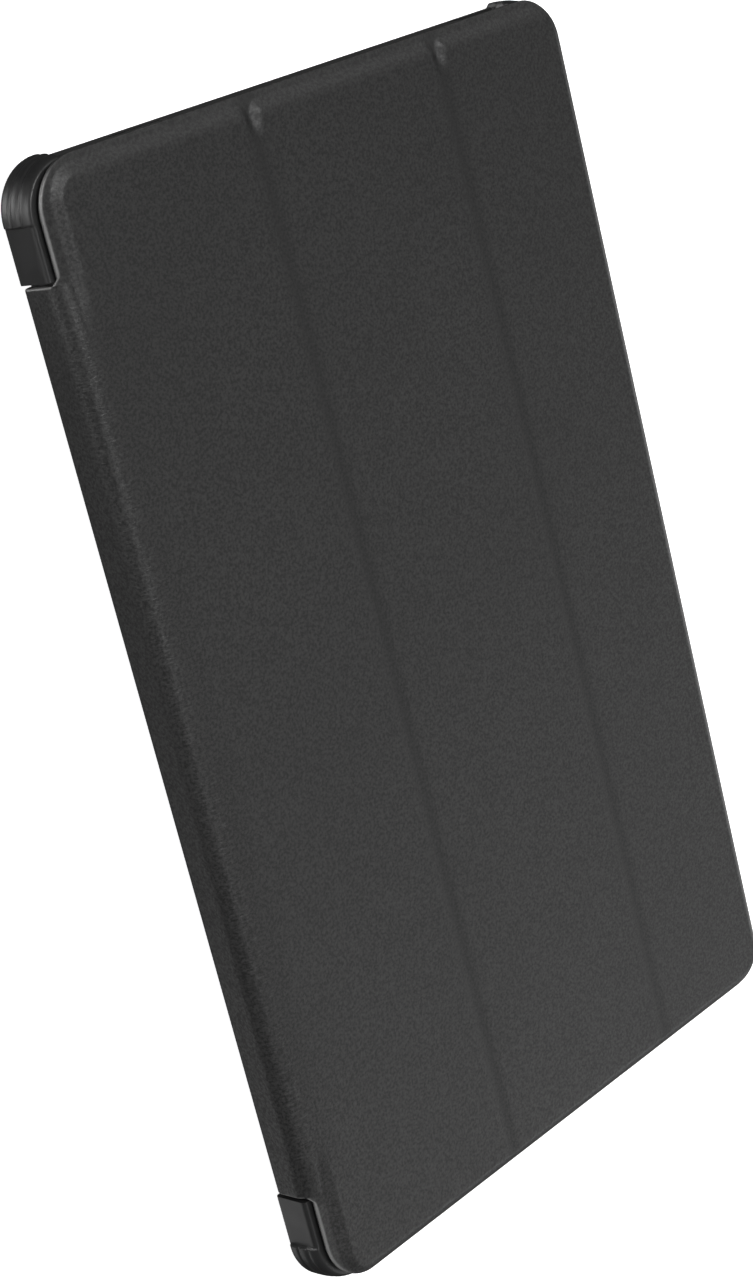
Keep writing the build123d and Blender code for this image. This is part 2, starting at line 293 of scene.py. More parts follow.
def panel_piece(name, columns, ears=False):
    """One piece of the cover with its raised panels, and the ears over the bare corners on the first."""
    base_x, y = cover_grid(columns)
    distance = inside(base_x, y, COVER_LEFT, COVER_RIGHT, -COVER_HALF, COVER_HALF, COVER_CORNER)
    fall = rounding(distance)
    waves = UNEVENNESS * (1 + undulation(base_x, y)) * smooth((base_x - PANEL_SEAM) / 4)
    top = FLANGE_TOP + (RISE - waves) * lift(base_x, y) - sag(base_x, y)
    under = np.maximum(LINING_TOP, top - PANEL_SKIN)
    x = base_x.copy()
    outer_z = top - fall
    inner_z = under + fall
    inner_x = x.copy()
    keep = np.ones((len(columns) - 1, y.shape[1] - 1), bool)
    if ears:
        share = np.clip((PANEL_SEAM - base_x) / (PANEL_SEAM - COVER_LEFT), 0, 1)
        from_spine = np.clip(np.abs(y) - SPINE_HALF, 0, NOTCH_ROUNDING)
        reach = NOTCH_ROUNDING - from_spine
        fillet = NOTCH_ROUNDING - np.sqrt(NOTCH_ROUNDING**2 - reach**2)
        u = base_x - share * fillet
        flat = smooth((np.abs(y) - SPINE_HALF) / EAR_FLAT)
        bent_x, bent_z = bent_section(u, y, fall)
        deep_x, deep_z = bent_section(u, y, SKIN - fall)
        ear = base_x < PANEL_SEAM - 0.001
        x = np.where(ear, bent_x + (u - bent_x) * flat, x)
        outer_z = np.where(ear, bent_z + (FLANGE_TOP - fall - bent_z) * flat, outer_z)
        inner_x = np.where(ear, deep_x + (u - deep_x) * flat, inner_x)
        inner_z = np.where(ear, deep_z + (LINING_TOP + fall - deep_z) * flat, inner_z)
        keep &= ~between_ears(base_x, y)
    attributes = {
        # edge: the rim, lightened partly as edge finish and partly as a painted highlight that is kept to
        # the left and right sides
        "edge": smooth(1.1 - distance / 0.6) * painted_highlight_sides(base_x, y),
        # margin: painted light, the flat margin at the +Y end only is lightened as if lit from that end
        "margin": smooth((y - PANEL_HIGH_Y + RAMP + 0.6) / 1.8),
        # bend: wrinkle strokes over the bend, bumped and painted lighter as a painted highlight
        "bend": lift_by_spine(y) * smooth((BEND_MARKS_END - base_x) / 2.5),
        # fold: closeness to a fold, used for painted shade in the crease
        "fold": np.exp(-((from_fold(base_x) / FOLD_SHADE_SPREAD) ** 2)),
    }
    return closed_sheet(name, surface(x, y, outer_z), surface(inner_x, y, inner_z), keep, attributes)


def middle_rows():
    return np.array([-v for v in MIDDLE_ROWS] + [0.0] + MIDDLE_ROWS[::-1])


def wrap_depth(y, inner_depth, thickness):
    """The leather is turned in over the ends of the spine, and is thin between them."""
    return np.where(np.abs(y) > SPINE_HALF - SPINE_WRAP, inner_depth, thickness)


def front_bend_piece():
    """Leather from halfway up the spine, over the front edge, to the first panel."""
    arc_end = FRONT_TURN - FRONT_BEND * math.pi / 2
    seam_u = arc_end - (FRONT_CENTRE_Z - SPINE_SEAM_Z)
    columns = steps(seam_u, arc_end, 0.5) + steps(arc_end, FRONT_TURN, 0.27) + [FRONT_TURN, PANEL_SEAM]
    u, y = np.meshgrid(columns, middle_rows(), indexing="ij")
    notch_corner = SPINE_FACE + 0.2
    distance = SPINE_HALF - np.abs(y) + 3 * smooth((u - notch_corner + 0.4) / 0.8)
    fall = rounding(distance)
    x, z = bent_section(u, y, fall)
    z = np.where(u > FRONT_TURN, COVER_TOP - RISE * (1 - lift_by_spine(y)) - sag(u, y), z)
    on_face = smooth((arc_end + 1.0 - u) / 1.0)
    thickness = wrap_depth(y, SKIN + WRAP_EXTRA * on_face, SKIN)
    deep_x, deep_z = bent_section(u, y, thickness - fall)
    attributes = {
        # edge: the rim at the ends of the spine, lightened partly as edge finish and partly as painted
        # highlight
        "edge": smooth(1 - distance / 0.5),
        "margin": 0.0,
        "fold": 0.0,
        # bend: wrinkle strokes, bumped and painted lighter as a painted highlight
        "bend": lift_by_spine(y) * smooth((u - arc_end - 1.0) / 2.5),
    }
    keep = np.ones((u.shape[0] - 1, u.shape[1] - 1), bool)
    return closed_sheet("leather_front_bend", surface(x, y, z), surface(deep_x, y, deep_z), keep, attributes)


FLAP_LEFT, FLAP_RIGHT, FLAP_HALF, FLAP_CORNER = -76.6, 76.6, 120.7, 8.3
FLAP = 0.8  # thickness of the flap on the back
FLAP_EDGE = EDGE_STEPS + steps(0.5, FLAP_CORNER, 0.7)


def back_section(u, depth):
    """Leather from the flap under the tray, round the back edge and up the spine."""
    angle = np.clip((BACK_TURN - u) / BACK_BEND, 0, math.pi / 2)
    above = np.maximum(BACK_TURN - u - BACK_BEND * math.pi / 2, 0)
    radius = BACK_BEND - depth
    x = np.where(u > BACK_TURN, u, BACK_TURN - radius * np.sin(angle))
    z = np.where(u > BACK_TURN, depth, BACK_BEND - radius * np.cos(angle) + above)
    return x, z


def back_piece():
    """The flap on the back and the lower half of the spine."""
    arc_end = BACK_TURN - BACK_BEND * math.pi / 2
    seam_u = arc_end - (SPINE_SEAM_Z - BACK_BEND)
    columns = steps(seam_u, arc_end, 0.5) + steps(arc_end, BACK_TURN, 0.27) + [BACK_TURN]
    columns += [FLAP_LEFT + v for v in FLAP_EDGE]
    columns += steps(FLAP_LEFT + FLAP_CORNER, FLAP_RIGHT - FLAP_CORNER, 4.0)
    columns += [FLAP_RIGHT - v for v in reversed(FLAP_EDGE)]
    span = FLAP_HALF - SPINE_HALF
    ends = [v * span / END_SPAN for v in END_OFFSETS]
    ends[: len(EDGE_STEPS)] = EDGE_STEPS
    grid_u, grid_y = [], []
    for u in columns:
        from_side = np.clip(min(max(u, FLAP_LEFT) - FLAP_LEFT, FLAP_RIGHT - u), 0, FLAP_CORNER)
        back = FLAP_CORNER - math.sqrt(FLAP_CORNER**2 - (FLAP_CORNER - from_side) ** 2)
        scale = (span - back) / span
        high = [SPINE_HALF + (span - v) * scale for v in ends]
        places = [-v for v in high] + list(middle_rows()) + list(reversed(high))
        grid_u.append([u] * len(places))
        grid_y.append(places)
    u, y = np.array(grid_u), np.array(grid_y)
    flap = inside(u, y, FLAP_LEFT, FLAP_RIGHT, -FLAP_HALF, FLAP_HALF, FLAP_CORNER)
    distance = np.where(u > FLAP_LEFT + 0.5, flap, SPINE_HALF - np.abs(y))
    distance = np.where(np.abs(y) > SPINE_HALF, flap, distance)
    distance = np.where((u > FLAP_LEFT - 0.5) & (np.abs(y) <= SPINE_HALF), 5.0, distance)
    fall = rounding(distance)
    thickness = SKIN + (FLAP - SKIN) * smooth((u - BACK_TURN) / 1.0)
    on_spine = smooth((arc_end + 0.5 - u) / 1.0)
    thickness = wrap_depth(y, thickness + WRAP_EXTRA * on_spine, thickness)
    x, z = back_section(u, fall)
    deep_x, deep_z = back_section(u, thickness - fall)
    centre = np.abs((y[:-1, :-1] + y[:-1, 1:]) / 2)
    keep = (u[:-1, :-1] > FLAP_LEFT - 0.001) | (centre < SPINE_HALF)
    # edge: the rim, lightened partly as edge finish and partly as painted highlight
    attributes = {"edge": smooth(1 - distance / 0.5), "margin": 0.0, "fold": 0.0, "bend": 0.0}
    outer, inner = surface(x, y, z), surface(deep_x, y, deep_z)
    return closed_sheet("leather_back", outer, inner, keep, attributes, flip=True)


SEAMS = (-48.0, 9.0)  # where the three pieces of the panels meet
FOLD_COLUMNS = 4.2  # half width of the close columns over a fold
RIGHT_EDGE_START = 68.5


def left_columns():
    near = [COVER_LEFT + v for v in EDGE_STEPS + [0.55, 0.85, 1.2, 1.6, 2.1]]
    return near + steps(PANEL_SEAM, -72.6, 0.27) + steps(-72.6, -67.0, 0.7) + steps(-67.0, SEAMS[0], 3.0)


def fold_columns(start, fold, end):
    """Wide columns from start to end, with close ones over the fold between them."""
    low, high = fold - FOLD_COLUMNS, fold + FOLD_COLUMNS
    return steps(start, low, 3.0) + steps(low, high, 0.24) + steps(high, end, 3.0)


def right_columns():
    near = [COVER_RIGHT - v for v in EDGE_STEPS]
    places = steps(RIGHT_EDGE_START, 75.6, 0.6) + steps(75.6, COVER_RIGHT - 0.5, 0.24)
    return places + list(reversed(near))


FIRST_COLUMNS = left_columns() + [SEAMS[0]]
SECOND_COLUMNS = fold_columns(SEAMS[0], FOLDS[0], SEAMS[1]) + [SEAMS[1]]
THIRD_COLUMNS = fold_columns(SEAMS[1], FOLDS[1], RIGHT_EDGE_START) + right_columns()

# ---------------------------------------------------------------- lining pieces

LINING_INSET = 0.25


def lining_piece(name, columns, ears=False):
    """Microfibre under one piece of the cover."""
    x, y = cover_grid(columns, LINING_INSET)
    half = COVER_HALF - LINING_INSET
    left, right = COVER_LEFT + LINING_INSET, COVER_RIGHT - LINING_INSET
    distance = inside(x, y, left, right, -half, half, COVER_CORNER)
    fall = rounding(distance, 0.2)
    keep = np.ones((len(columns) - 1, y.shape[1] - 1), bool)
    if ears:
        keep &= ~between_ears(x, y)
    outer, inner = surface(x, y, LINING_TOP - fall), surface(x, y, LINING_BOTTOM + fall)
    return closed_sheet(name, outer, inner, keep, {"edge": smooth(1 - distance / 0.4)})


LINING_BEND = 2.2
LINING_FACE = SPINE_FACE + 1.5
LINING_TURN = LINING_FACE + LINING_BEND


def lining_bend_piece():
    """Microfibre inside the spine and round the front bend."""
    arc_end = LINING_TURN - LINING_BEND * math.pi / 2
    bottom_u = arc_end - (FRONT_CENTRE_Z - BACK_BEND)
    columns = steps(bottom_u, arc_end, 0.7) + steps(arc_end, LINING_TURN, 0.22)
    columns += [LINING_TURN, PANEL_SEAM]
    half = SPINE_HALF - SPINE_WRAP
    rows = np.array([-half] + steps(-half + 0.2, half, 4.0) + [half - 0.2, half])
    u, y = np.meshgrid(columns, rows, indexing="ij")
    angle = np.clip((LINING_TURN - u) / LINING_BEND, 0, math.pi / 2)
    below = np.maximum(arc_end - u, 0)
    layers = []
    for depth in (0.0, LINING_TOP - LINING_BOTTOM):
        radius = LINING_BEND - depth
        x = np.where(u > LINING_TURN, u, LINING_TURN - radius * np.sin(angle))
        z = FRONT_CENTRE_Z + radius * np.cos(angle) - below
        layers.append(surface(x, y, z))
    keep = np.ones((u.shape[0] - 1, u.shape[1] - 1), bool)
    return closed_sheet("lining_front_bend", layers[0], layers[1], keep, {"edge": 0.0})


# ---------------------------------------------------------------- tray

SHELL_X, SHELL_Y, SHELL_CORNER = 80.2, 124.3, 10.6
BAY_LEFT, BAY_RIGHT, BAY_Y, BAY_CORNER = -76.5, 78.5, 122.6, 8.5
LOW_WALL_FACE, LOW_WALL_TOP, LOW_WALL_HALF = -77.9, 8.5, 101.9
LOW_WALL_ROUNDING = 0.4  # leaves room for the lining when the front bend opens
RECESS_INSET = 3.4
BUMPER_START = 113.3
TRAY_SHARP = 40  # edges with a larger angle than this stay sharp, in degrees
SIDE_PLACES = [113.55, 113.4, 113.25, 113.1, 112.8, 108.0]


def stations():
    """Places round the tray: (side, place, low wall), anticlockwise from the low end of the right side."""
    ends = [-v for v in SIDE_PLACES]
    right = [("right", v, False) for v in ends + steps(-100, 100, 20) + [100] + SIDE_PLACES[::-1]]
    wall_places = (LOW_WALL_HALF, 101.5, 90, 60, 30, 0, -30, -60, -90, -101.5, -LOW_WALL_HALF)
    wall = [(v, True) for v in wall_places]
    high = [(v, False) for v in SIDE_PLACES + [102.3, LOW_WALL_HALF]]
    low = [(-v, False) for v in [LOW_WALL_HALF, 102.3] + SIDE_PLACES[::-1]]
    left = [("left", v, flag) for v, flag in high + wall + low]
    bumper_end = [69.45, 69.3, 69.15, 69.0, 68.7]
    across = bumper_end + [60, 40, 20, 0, -20, -40, -60] + [-v for v in reversed(bumper_end)]
    top = [("top", v, False) for v in across]
    bottom = [("bottom", -v, False) for v in across]
    corners = [[(name, k / 16, False) for k in range(17)] for name in ("ne", "nw", "sw", "se")]
    return right + corners[0] + top + corners[1] + left + corners[2] + bottom + corners[3]


STATIONS = stations()
CORNER_SIGNS = {"ne": (1, 1, 0), "nw": (-1, 1, 90), "sw": (-1, -1, 180), "se": (1, -1, 270)}


def ring(left, right, half, radius, offset=0.0):
    """The stations' places on one rounded rectangle, moved outwards by offset."""
    points = []
    for index, (side, place, _) in enumerate(STATIONS):
        out = offset if np.isscalar(offset) else offset[index]
        if side == "right":
            points.append((right + out, place))
        elif side == "left":
            points.append((left - out, place))
        elif side == "top":
            points.append((place, half + out))
        elif side == "bottom":
            points.append((place, -half - out))
        else:
            sign_x, sign_y, start = CORNER_SIGNS[side]
            angle = math.radians(start + 90 * place)
            centre_x = right - radius if sign_x > 0 else left + radius
            centre_y = sign_y * (half - radius)
            reach = radius + out
            points.append((centre_x + reach * math.cos(angle), centre_y + reach * math.sin(angle)))
    return np.array(points)


def bumper_share():
    """1 on the corner bumpers, 0 between them."""
    share = []
    for side, place, _ in STATIONS:
        if side in CORNER_SIGNS:
            share.append(1.0)
        else:
            start = BUMPER_START if side in ("left", "right") else BUMPER_START - SHELL_Y + SHELL_X
            share.append(float(smooth((abs(place) - start + 0.25) / 0.5)))
    return np.array(share)


WALL_HEIGHTS = [9.4, 9.39, 9.35, 9.27, 9.15, 9.0, 8.8, 8.55, 8.3, 8.0]
WALL_HEIGHTS += [7.6, 7.25, 7.1, 7.0, 6.9, 6.8, 6.7, 6.6, 6.5, 6.4, 6.3, 6.1, 5.5, 4.9, 4.7, 4.6, 4.5]
WALL_HEIGHTS += [4.4, 4.3, 4.2, 4.1, 4.0, 3.9, 3.8, 3.6, 3.0, 2.5, 2.2, 1.9, 1.6, 1.35, 1.1]
GROOVES = ((6.7, 0.42), (4.2, 0.42))  # height and half width of the two grooves round each bumper
GROOVE_DEPTH = 0.2
LIP_TOP = 9.4
SHOULDER, SHOULDER_FALL = 0.9, 1.3  # width and height of the wall's rounded shoulder
BUMPER_OUT, DOME, DOME_FALL = 1.0, 1.6, 6.0  # how far a bumper stands out, and the size of its shoulder
BUMPER_FOOT, FOOT_FALL = 2.3, 1.25  # where a bumper starts to turn in, and how fast
FLOOR_BEND, FOOT_BEND = 0.6, 0.9  # radius inside and outside the foot of the wall
# outward offset and height up the bay's wall and round the lip
LIP_PROFILE = ((0.0, 8.5), (-0.1, 8.68), (-0.6, 8.75), (-0.7, 8.85), (-0.7, 9.2), (-0.62, 9.34))
LIP_PROFILE += ((-0.45, LIP_TOP),)


def quarter(share):
    """Height of a quarter circle at a share of its radius."""
    return math.sqrt(max(0.0, 1 - min(1.0, max(0.0, share)) ** 2))


def plain_wall(height):
    """How far the wall stands out at a height, with a rounded shoulder."""
    return SHOULDER * (quarter((height - LIP_TOP) / SHOULDER_FALL + 1) - 1)


def bumper_wall(height):
    """The same on a corner bumper, with its two shallow grooves."""
    out = BUMPER_OUT + DOME * (quarter((height - LIP_TOP) / DOME_FALL + 1) - 1)
    out -= BUMPER_OUT * (1 - quarter((BUMPER_FOOT - height) / FOOT_FALL))
    for middle, half_width in GROOVES:
        share = (height - middle) / half_width
        out -= GROOVE_DEPTH * math.exp(-(share**4)) * (0.85 + 0.15 * math.cos(share))
    return out


def tray_mesh():
    """The tray, as rings from the bay's floor up and over the lip, and down to the recess in the back."""
    low_wall = np.array([flag for _, _, flag in STATIONS])
    bumper = bumper_share()
    rings = []

    def add(points, z, wall_x, wall_z):
        x = np.where(low_wall, wall_x, points[:, 0])
        height = np.where(low_wall, wall_z, z)
        rings.append(surface(x, points[:, 1], height))

    def bay(offset, z):
        points = ring(BAY_LEFT, BAY_RIGHT, BAY_Y, BAY_CORNER, offset)
        wall_z = min(z, LOW_WALL_TOP)
        wall_x = BAY_LEFT if z > 2.3 else BAY_LEFT - min(offset, 0)
        add(points, z, wall_x, wall_z)

    def outside(offset, z):
        points = ring(-SHELL_X, SHELL_X, SHELL_Y, SHELL_CORNER, offset)
        wall_z = float(np.clip(z, 1.0, LOW_WALL_TOP))
        wall_x = LOW_WALL_FACE + LOW_WALL_ROUNDING * float(smooth((wall_z - LOW_WALL_TOP + 1.0) / 1.0))
        add(points, z, wall_x, wall_z)

    for angle in (0, 30, 60, 90):
        turn = math.radians(angle)
        bay(FLOOR_BEND * (math.sin(turn) - 1), 2.8 - FLOOR_BEND * math.cos(turn))
    for offset, height in LIP_PROFILE:
        bay(offset, height)
    for height in WALL_HEIGHTS:
        plain = plain_wall(height)
        outside(plain + bumper * (bumper_wall(height) - plain), height)
    for angle in (15, 30, 45, 60, 75, 90):
        turn = math.radians(angle)
        outside(FOOT_BEND * (math.cos(turn) - 1), 1.1 - FOOT_BEND * math.sin(turn))
    recess = ring(-SHELL_X + RECESS_INSET, SHELL_X - RECESS_INSET, SHELL_Y - RECESS_INSET, 8.5)
    add(recess, 0.2, recess[:, 0], 1.0)
    add(recess, 1.0, recess[:, 0], 1.0)

    count = len(STATIONS)
    points = np.concatenate(rings) * MM
    faces = [list(range(count)), list(range((len(rings) - 1) * count, len(rings) * count))[::-1]]
    for k in range(len(rings) - 1):
        for s in range(count):
            after = (s + 1) % count
            faces.append([k * count + after, k * count + s, (k + 1) * count + s, (k + 1) * count + after])
    mesh = bpy.data.meshes.new("tray")
    mesh.from_pydata(points.tolist(), [], faces)
    finish_mesh(mesh, TRAY_SHARP)
    return mesh


def rounded_outline(width, height, radius, count=8):
    points = []
    for sign_x, sign_y, start in CORNER_SIGNS.values():
        for k in range(count + 1):
            angle = math.radians(start + 90 * k / count)
            x = sign_x * (width / 2 - radius) + radius * math.cos(angle)
            y = sign_y * (height / 2 - radius) + radius * math.sin(angle)
            points.append((x, y))
    return points


def prism(outline, middle, half_depth, along_y):
    """A straight cutter with a rounded outline, running along Y or Z."""
    work = bmesh.new()
    rings = []
    for depth in (-half_depth, half_depth):
        ring_points = []
        for a, b in outline:
            offset = (a, depth, b) if along_y else (a, b, depth)
            ring_points.append(work.verts.new([(m + o) * MM for m, o in zip(middle, offset)]))
        rings.append(ring_points)
    work.faces.new(rings[0])
    work.faces.new(rings[1])
    for k in range(len(outline)):
        after = (k + 1) % len(outline)
        work.faces.new((rings[0][k], rings[0][after], rings[1][after], rings[1][k]))
    bmesh.ops.recalc_face_normals(work, faces=work.faces)
    mesh = bpy.data.meshes.new("cutter")
    work.to_mesh(mesh)
    work.free()
    return link(mesh)


def cut(piece, cutters):
    """Cut openings through a piece and leave a plain mesh."""
    for cutter in cutters:
        modifier = piece.modifiers.new("opening", "BOOLEAN")
        modifier.operation = "DIFFERENCE"
        modifier.solver = "EXACT"
        modifier.object = cutter
    bpy.context.view_layer.update()
    shape = piece.evaluated_get(bpy.context.evaluated_depsgraph_get())
    mesh = bpy.data.meshes.new_from_object(shape)
    mesh.name = piece.name
    piece.modifiers.clear()
    piece.data = mesh
    for cutter in cutters:
        bpy.data.objects.remove(cutter)
    for polygon in mesh.polygons:
        polygon.use_smooth = True
    mesh.set_sharp_from_angle(angle=math.radians(TRAY_SHARP))


CAMERA_MIDDLE = (60.0, 104.0, 1.0)
TRAY_WINDOW, FLAP_WINDOW, WINDOW_CORNER = 20, 21.2, 6
OPENINGS = (  # width, height and corner radius, and the middle, of each opening in the two end walls
    ((16, 14, 0.9), (61, SHELL_Y, 10.4)),
    ((14, 5.4, 1.8), (1, -SHELL_Y, 5.6)),
    ((16, 2, 0.99), (45, -SHELL_Y, 5.6)),
    ((16, 2, 0.99), (-45, SHELL_Y, 5.6)),
)


def tray_cutters():
    """The camera window, the key cut-out, the USB opening and the two speaker slots."""
    window = prism(rounded_outline(TRAY_WINDOW, TRAY_WINDOW, WINDOW_CORNER), CAMERA_MIDDLE, 3, False)
    return [window] + [prism(rounded_outline(*size), middle, 4, True) for size, middle in OPENINGS]


# ---------------------------------------------------------------- materials


class Graph:
    """The shader nodes of one material or world, with short ways to add them."""

    def __init__(self, tree):
        self.nodes, self.links = tree.nodes, tree.links

    def connect(self, node, inputs):
        """Set each named input to a value, or link it to a socket."""
        for name, value in inputs.items():
            if isinstance(value, bpy.types.NodeSocket):
                self.links.new(value, node.inputs[name])
            else:
                node.inputs[name].default_value = value
        return node

    def node(self, kind, inputs, **settings):
        node = self.nodes.new(kind)
        for name, value in settings.items():
            setattr(node, name, value)
        return self.connect(node, inputs)

    def places(self, scale=(1, 1, 1)):
        """Object coordinates, stretched for a grain that runs one way."""
        coordinates = self.node("ShaderNodeTexCoord", {}).outputs["Object"]
        return self.node("ShaderNodeMapping", {"Scale": scale, "Vector": coordinates}).outputs["Vector"]

    def noise(self, places, scale, detail=2.0, roughness=0.5):
        inputs = {"Scale": scale, "Detail": detail, "Roughness": roughness, "Vector": places}
        return self.node("ShaderNodeTexNoise", inputs).outputs["Fac"]

    def remap(self, value, low, high, from_low=0.3, from_high=0.7):
        """Stretch a value, by default the usual range of a noise, to run from low to high."""
        inputs = {"From Min": from_low, "From Max": from_high, "To Min": low, "To Max": high}
        return self.node("ShaderNodeMapRange", inputs | {"Value": value}).outputs["Result"]

    def math(self, operation, first, second):
        node = self.node("ShaderNodeMath", {0: first, 1: second}, operation=operation)
        return node.outputs["Value"]

    def product(self, first, second):
        return self.math("MULTIPLY", first, second)

    def grey(self, level, tint=(1.0, 1.0, 1.0)):
        """A grey level made into a colour with a slight tint."""
        node = self.node("ShaderNodeVectorMath", {0: tint, "Scale": level}, operation="SCALE")
        return node.outputs["Vector"]

    def bump(self, height, distance, strength, under=None):
        inputs = {"Distance": distance, "Strength": strength, "Height": height}
        if under is not None:
            inputs["Normal"] = under
        return self.node("ShaderNodeBump", inputs).outputs["Normal"]

    def attribute(self, name):
        return self.node("ShaderNodeAttribute", {}, attribute_name=name).outputs["Fac"]


def new_material(name):
    material = bpy.data.materials.new(name)
    material.use_nodes = True
    graph = Graph(material.node_tree)
    shader = next(node for node in graph.nodes if node.type == "BSDF_PRINCIPLED")
    return material, graph, shader


def make_leather():
    """Charcoal imitation leather: a fine pebble grain, glossier edges lightened partly as edge finish and
    partly as painted highlight, short strokes over the bend bumped and painted lighter as a highlight,
    painted light on the +Y margin and painted shade along the folds.
    """
    material, graph, shader = new_material("leather_charcoal")
    places = graph.places()
    inputs = {"Scale": 1650, "Smoothness": 0.6, "Vector": places}
    pebble = graph.node("ShaderNodeTexVoronoi", inputs, feature="SMOOTH_F1")
    cells = graph.remap(pebble.outputs["Distance"], 1.0, 0.0, 0.0, 0.8)
    mottle = graph.noise(places, 1500, 3.0, 0.65)
    slow = graph.noise(places, 16)
    fine = graph.noise(places, 3600)
    strokes = graph.noise(graph.places((0.22, 1.0, 0.22)), 2300, 2.0, 0.6)
    bend_strokes_and_highlight = graph.product(graph.attribute("bend"), graph.remap(strokes, 0, 1, 0.5, 0.68))
    edge = graph.attribute("edge")
    level = graph.remap(mottle, 0.0005, 0.0195, 0.39, 0.61)
    level = graph.product(level, graph.remap(slow, 0.88, 1.12))
    # painted shade: the leather is darkened to half along each fold, where shade falls in the crease
    level = graph.product(level, graph.remap(graph.attribute("fold"), 1.0, 0.5, 0.0, 1.0))
    # painted light: the bend strokes are lightened as a painted highlight, the +Y margin as painted light,
    # and the edges partly as edge finish and partly as painted highlight
    for mark, lighter in ((bend_strokes_and_highlight, 0.012), (graph.attribute("margin"), 0.008), (edge, 0.16)):
        level = graph.math("ADD", level, graph.product(mark, lighter))
    rough = graph.math("SUBTRACT", graph.remap(mottle, 0.54, 0.44), graph.product(edge, 0.15))
    normal = graph.bump(cells, 0.00006, 0.55)
    normal = graph.bump(fine, 0.00003, 0.35, normal)
    normal = graph.bump(bend_strokes_and_highlight, 0.00006, 0.5, normal)
    colour = graph.grey(level, (1.0, 0.995, 0.985))
    graph.connect(shader, {"Base Color": colour, "Roughness": rough, "Normal": normal})
    shader.inputs["Specular IOR Level"].default_value = 0.45
    return material


def make_microfibre():
    """Dark suede-like lining: soft, matt, brushed in patches."""
    material, graph, shader = new_material("microfibre_lining")
    places = graph.places()
    fibres = graph.noise(places, 4200, 3.0, 0.7)
    brushed = graph.noise(places, 55, 3.0, 0.6)
    level = graph.product(graph.remap(fibres, 0.03, 0.062), graph.remap(brushed, 0.82, 1.2))
    colour = graph.grey(level, (1.0, 1.0, 1.01))
    graph.connect(shader, {"Base Color": colour, "Normal": graph.bump(fibres, 0.00008, 0.6)})
    shader.inputs["Roughness"].default_value = 0.92
    shader.inputs["Sheen Weight"].default_value = 0.35
    shader.inputs["Sheen Roughness"].default_value = 0.4
    return material


def make_tray():
    """Black moulded polymer with a satin spark-eroded grain and faint rubbed patches."""
    material, graph, shader = new_material("moulded_black")
    places = graph.places()
    grain = graph.noise(places, 2600, 3.0, 0.6)
    rubbed = graph.noise(places, 90, 3.0, 0.6)
    level = graph.product(graph.remap(grain, 0.0075, 0.0125), graph.remap(rubbed, 0.9, 1.15))
    rough = graph.math("ADD", graph.remap(rubbed, 0.36, 0.46), graph.remap(grain, -0.03, 0.03))
    colour, normal = graph.grey(level, (1.0, 1.0, 1.02)), graph.bump(grain, 0.00002, 0.35)
    graph.connect(shader, {"Base Color": colour, "Roughness": rough, "Normal": normal})
    return material


def make_board():
    """Pressed fibre board, hidden in the panels."""
    material, graph, shader = new_material("fibre_board")
    fibres = graph.noise(graph.places(), 900, 4.0, 0.7)
    colour = graph.grey(graph.remap(fibres, 0.12, 0.3), (1.0, 0.86, 0.68))
    graph.connect(shader, {"Base Color": colour, "Normal": graph.bump(fibres, 0.00008, 0.5)})
    shader.inputs["Roughness"].default_value = 0.85
    return material


def make_film():
    """Pale adhesive film, slightly uneven."""
    material, graph, shader = new_material("adhesive_film")
    patches = graph.noise(graph.places(), 140, 3.0, 0.6)
    colour = graph.grey(graph.remap(patches, 0.45, 0.62), (1.0, 0.97, 0.86))
    graph.connect(shader, {"Base Color": colour, "Roughness": graph.remap(patches, 0.25, 0.45)})
    return material


def make_magnet():
    """Nickel plating with fine handling marks."""
    material, graph, shader = new_material("magnet_nickel")
    marks = graph.noise(graph.places((0.1, 1.0, 1.0)), 1800, 3.0, 0.7)
    colour = graph.grey(graph.remap(marks, 0.5, 0.66), (1.0, 0.98, 0.94))
    graph.connect(shader, {"Base Color": colour, "Roughness": graph.remap(marks, 0.18, 0.34)})
    shader.inputs["Metallic"].default_value = 1.0
    return material


def wear(piece, material):
    piece.data.materials.clear()
    piece.data.materials.append(material)


leather = make_leather()
microfibre = make_microfibre()
moulded = make_tray()

# ---------------------------------------------------------------- build the pieces


def point(x, z):
    return (x * MM, 0.0, z * MM)


back = back_piece()
cut(back, [prism(rounded_outline(FLAP_WINDOW, FLAP_WINDOW, WINDOW_CORNER), CAMERA_MIDDLE, 3, False)])
front_bend = front_bend_piece()
first = panel_piece("leather_inner_panel", FIRST_COLUMNS, ears=True)
second = panel_piece("leather_middle_panel", SECOND_COLUMNS)
third = panel_piece("leather_outer_panel", THIRD_COLUMNS)

lining_bend = lining_bend_piece()
lining_first = lining_piece("lining_inner_panel", FIRST_COLUMNS, ears=True)
lining_second = lining_piece("lining_middle_panel", SECOND_COLUMNS)
lining_third = lining_piece("lining_outer_panel", THIRD_COLUMNS)

front_span = (point(SPINE_FACE, FRONT_CENTRE_Z), point(FRONT_TURN, COVER_TOP))
lining_span = (point(LINING_FACE, FRONT_CENTRE_Z), point(LINING_TURN, LINING_TOP))
stand_span = (point(PANEL_SEAM, STAND_Z), point(STAND_END, STAND_Z))
first_fold, second_fold = [(point(x - FOLD_REACH, FOLD_Z), point(x + FOLD_REACH, FOLD_Z)) for x in FOLDS]
back_span = (point(BACK_TURN, 0.0), point(SPINE_FACE, BACK_BEND))

